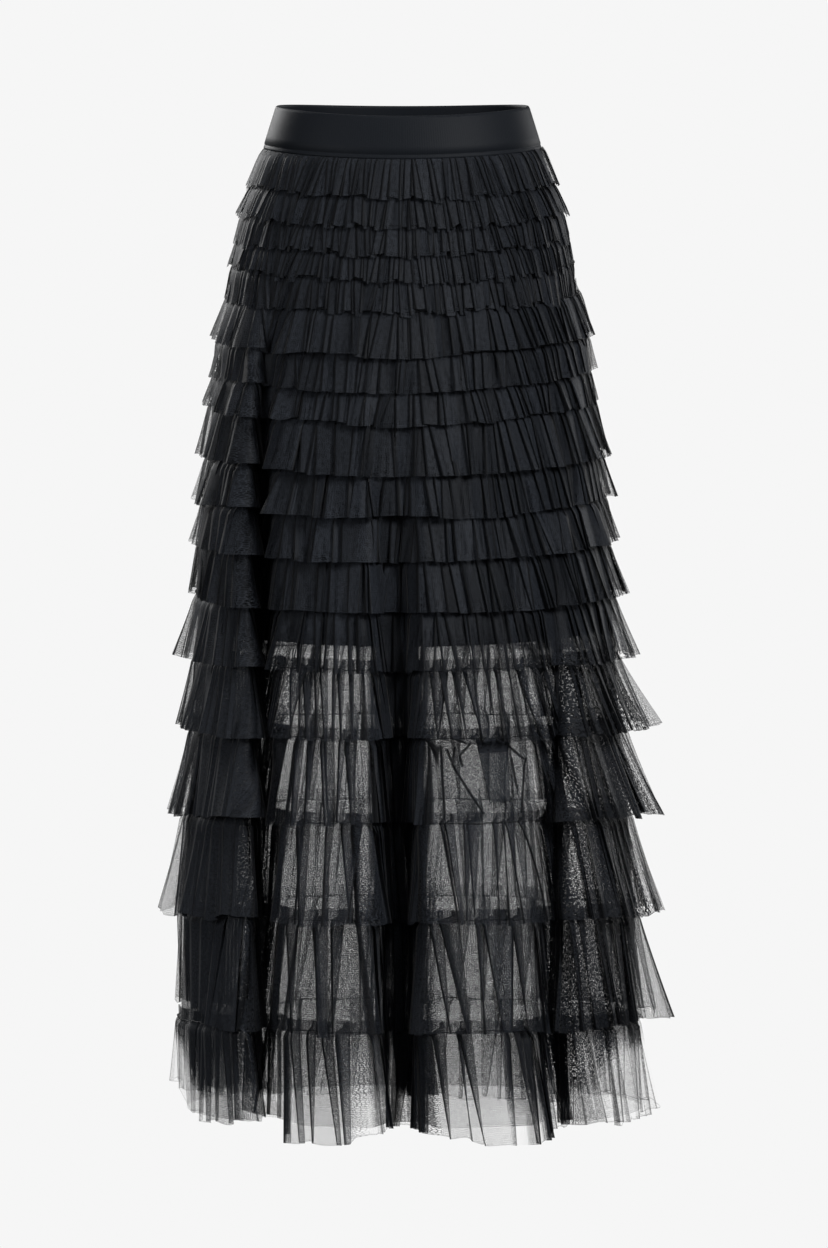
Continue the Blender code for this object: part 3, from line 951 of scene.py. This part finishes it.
# The open gap under the strip, as shares across and down: it widens towards its foot
GAP_SPAN = (0.434, 0.66)
GAP_FOOT = 0.95
GAP_RISE = 0.17
CORNER_SIZE = (0.090, 0.077)
CORNER_LAYERS = 0.9
CREASE_HALF_WIDTH = 0.0045
END_SIZE = (0.025, 0.062)
END_LAYERS = 4.3
END_FOLD_LAYERS = 20.0
END_FOLD_FOOT = 0.21


def make_turned_corner(material):
    """The smooth corner of the turned ruffle, with its creases and the open gap under its end."""
    across, down = np.meshgrid(np.linspace(0, 1, 130), np.linspace(0, 1, 110))
    angle = np.radians(TURNED_SPAN[0] + (TURNED_SPAN[1] - TURNED_SPAN[0]) * across)
    level = TURNED_RUFFLE + 0.03 + 0.95 * down
    place = np.stack([across, down], axis=-1) * CORNER_SIZE
    rise = np.zeros_like(across)
    nearest = np.full_like(across, 9.0)
    for crease in CREASES:
        start = np.array([crease.left, crease.top]) * CORNER_SIZE
        run = np.array([crease.right, crease.bottom]) * CORNER_SIZE - start
        size = np.hypot(*run)
        run = run / size
        ahead = np.clip((place - start) @ run, 0.0, size)
        aside = place - start - ahead[..., None] * run
        distance = np.hypot(aside[..., 0], aside[..., 1])
        rise += crease.depth * np.exp(-((distance / CREASE_HALF_WIDTH) ** 2))
        nearest = np.minimum(nearest, distance / 0.001)
    in_gap = (across - GAP_SPAN[0]) / (GAP_SPAN[1] - GAP_SPAN[0])
    edge = GAP_FOOT - GAP_RISE * in_gap
    gap = (in_gap > 0.0) & (in_gap < 1.0) & (down > edge)
    points, _, out = base_frame(level, angle)
    points = points + out * (0.0030 + rise)[..., None]
    # The tuck field is the distance to the nearest crease, so the net paints shade along the
    # creases
    fields = {"layers": np.where(gap, 0.0, CORNER_LAYERS), "tuck": 0.62 * nearest}
    fields.update(crisp=np.where(gap, 0.0, 1.0), shade=0.7)
    piece = grid_mesh("turned_ruffle_corner", points, False, *CORNER_SIZE, **fields)
    dress(piece, material, "ruffle_tulle")


def make_turned_end(material):
    """The doubled end of the turned ruffle, with the small dark folds at its top."""
    across, down = np.meshgrid(np.linspace(0, 1, 24), np.linspace(0, 1, 40))
    left = STRIP_LEFT[0] + (STRIP_LEFT[1] - STRIP_LEFT[0]) * down
    share = left + (STRIP_RIGHT - left) * across
    angle = np.radians(TURNED_SPAN[0] + (TURNED_SPAN[1] - TURNED_SPAN[0]) * share)
    level = TURNED_RUFFLE + 0.01 + (0.76 - 0.03 * across) * down
    points, _, out = base_frame(level, angle)
    ripple = 0.0010 * np.sin(across * 9.0 + down * 2.0) + 0.0015 * (1.0 - smooth_step(down / 0.2))
    points = points + out * (0.0095 + ripple)[..., None]
    folded = 1.0 - smooth_step((down - END_FOLD_FOOT) / 0.02)
    fields = {"layers": END_LAYERS + END_FOLD_LAYERS * folded, "crisp": 0.8, "shade": 0.6}
    # The tuck field is the distance to the end's sides, so the net paints shade along them
    fields["tuck"] = np.minimum(across, 1.0 - across) * 24.0
    piece = grid_mesh("turned_ruffle_end", points, False, *END_SIZE, **fields)
    dress(piece, material, "ruffle_tulle")


# Seam stitches: a fine dark thread line at the foot of each heading


THREAD_RADIUS = 0.00045


def make_stitches(material):
    sides = 4
    count = 900
    verts = []
    faces = []
    for number in range(1, HEM):
        rng = np.random.default_rng(SEED * 100 + number)
        angles, lengths = ring_length(float(number))
        spots = np.linspace(0.0, lengths[-1], count + 1)[:-1]
        angle = np.interp(spots, lengths, angles)
        points, _, out = base_frame(np.full(count, float(number)), angle)
        wobble = 0.0005 * np.sin(spots / 0.011 + number) + 0.0003 * rng.normal(0, 1, count)
        centre = points + out * (0.0030 + 0.0006 * rng.uniform(0, 1, count))[:, None]
        centre[:, 2] += wobble
        start = sum(len(block) for block in verts)
        for side in range(sides):
            turn = math.tau * side / sides
            block = centre + out * (math.cos(turn) * THREAD_RADIUS)
            block[:, 2] += math.sin(turn) * THREAD_RADIUS
            verts.append(block)
        for side in range(sides):
            here = start + side * count + np.arange(count)
            there = start + ((side + 1) % sides) * count + np.arange(count)
            faces.append(np.stack([here, np.roll(here, -1), np.roll(there, -1), there], axis=-1))
    points = np.concatenate(verts)
    quads = np.concatenate(faces)
    mesh = bpy.data.meshes.new("seam_stitches")
    mesh.from_pydata(points.tolist(), [], quads.tolist())
    mesh.uv_layers.new(name="cut")
    mesh.shade_smooth()
    piece = bpy.data.objects.new("seam_stitches", mesh)
    bpy.context.scene.collection.objects.link(piece)
    dress(piece, material, "ruffle_tulle")


# Stage, lights and camera

BACKDROP = (0.921, 0.921, 0.921)
AMBIENT = 0.07
FLOOR_HALF_SIZE = 9.0
FLOOR_HEIGHT = -1.30
Light = namedtuple("Light", "name place aim size power")
LIGHTS = (
    Light("key", (1.9, -2.3, 1.3), (0.0, 0.0, -0.40), (0.9, 1.3), 88.0),
    Light("fill", (-2.4, -2.2, 0.4), (0.0, 0.0, -0.5), (1.2, 1.6), 34.0),
    Light("back_key", (-1.9, 2.3, 1.3), (0.0, 0.0, -0.40), (0.9, 1.3), 75.0),
    Light("back_fill", (2.4, 2.2, 0.4), (0.0, 0.0, -0.5), (1.2, 1.6), 32.0),
    Light("top", (0.0, -0.9, 2.2), (0.0, 0.0, -0.3), (1.4, 1.0), 15.0),
)
CAMERA_PLACE = (0.0108, -4.3, -0.467)
CAMERA_AIM = (0.0108, 0.0, -0.467)


def make_stage():
    """A plain pale floor, as bright as the backdrop, that neither lights nor shades."""
    mesh = bpy.data.meshes.new("studio_floor")
    turns = ((-1, -1), (1, -1), (1, 1), (-1, 1))
    corners = [(x * FLOOR_HALF_SIZE, y * FLOOR_HALF_SIZE, FLOOR_HEIGHT) for x, y in turns]
    mesh.from_pydata(corners, [], [(0, 1, 2, 3)])
    piece = bpy.data.objects.new("studio_floor", mesh)
    bpy.context.scene.collection.objects.link(piece)
    material, nodes = new_material("studio_floor", 1.0, 0.0)
    nodes.shader.inputs["Base Color"].default_value = (0.0, 0.0, 0.0, 1.0)
    nodes.shader.inputs["Emission Color"].default_value = (*BACKDROP, 1.0)
    nodes.shader.inputs["Emission Strength"].default_value = 1.0
    mesh.materials.append(material)
    for ray in ("visible_diffuse", "visible_glossy", "visible_shadow", "visible_volume_scatter"):
        setattr(piece, ray, False)


def make_world():
    world = bpy.data.worlds.new("studio")
    bpy.context.scene.world = world
    world.use_nodes = True
    tree = world.node_tree
    background = tree.nodes["Background"]
    background.inputs["Color"].default_value = (*BACKDROP, 1.0)
    path = tree.nodes.new("ShaderNodeLightPath")
    strength = tree.nodes.new("ShaderNodeMapRange")
    strength.inputs["To Min"].default_value = AMBIENT
    strength.inputs["To Max"].default_value = 1.0
    tree.links.new(path.outputs["Is Camera Ray"], strength.inputs["Value"])
    tree.links.new(strength.outputs["Result"], background.inputs["Strength"])


def make_light(spec):
    light = bpy.data.lights.new(spec.name, "AREA")
    light.shape = "RECTANGLE"
    light.size, light.size_y = spec.size
    light.energy = spec.power
    holder = bpy.data.objects.new(spec.name, light)
    bpy.context.scene.collection.objects.link(holder)
    point_at(holder, spec.place, spec.aim)


def point_at(holder, place, aim):
    holder.location = place
    direction = Vector(aim) - Vector(place)
    holder.rotation_euler = direction.to_track_quat("-Z", "Y").to_euler()


def make_camera():
    data = bpy.data.cameras.new("camera")
    data.sensor_fit = "VERTICAL"
    data.sensor_height = 36.0
    data.lens = 132.0
    camera = bpy.data.objects.new("camera", data)
    bpy.context.scene.collection.objects.link(camera)
    point_at(camera, CAMERA_PLACE, CAMERA_AIM)
    bpy.context.scene.camera = camera


def main():
    satin = satin_material()
    lining = lining_material()
    base = tulle_material("base_tulle", (0.025, 0.0285, 0.036), 0.0011)
    tulle = tulle_material("ruffle_tulle", (0.0275, 0.0320, 0.0412), 0.0012)
    thread = thread_material()
    make_waistband(satin)
    make_lining(lining)
    make_base(base)
    for number in range(len(RUFFLES)):
        make_ruffle(number, tulle)
    make_turned_corner(tulle)
    make_turned_end(tulle)
    make_stitches(thread)
    make_stage()
    make_world()
    for spec in LIGHTS:
        make_light(spec)
    make_camera()
    scene = bpy.context.scene
    scene.view_settings.view_transform = "Standard"
    scene.view_settings.look = "None"
    scene.cycles.transparent_max_bounces = 48


main()
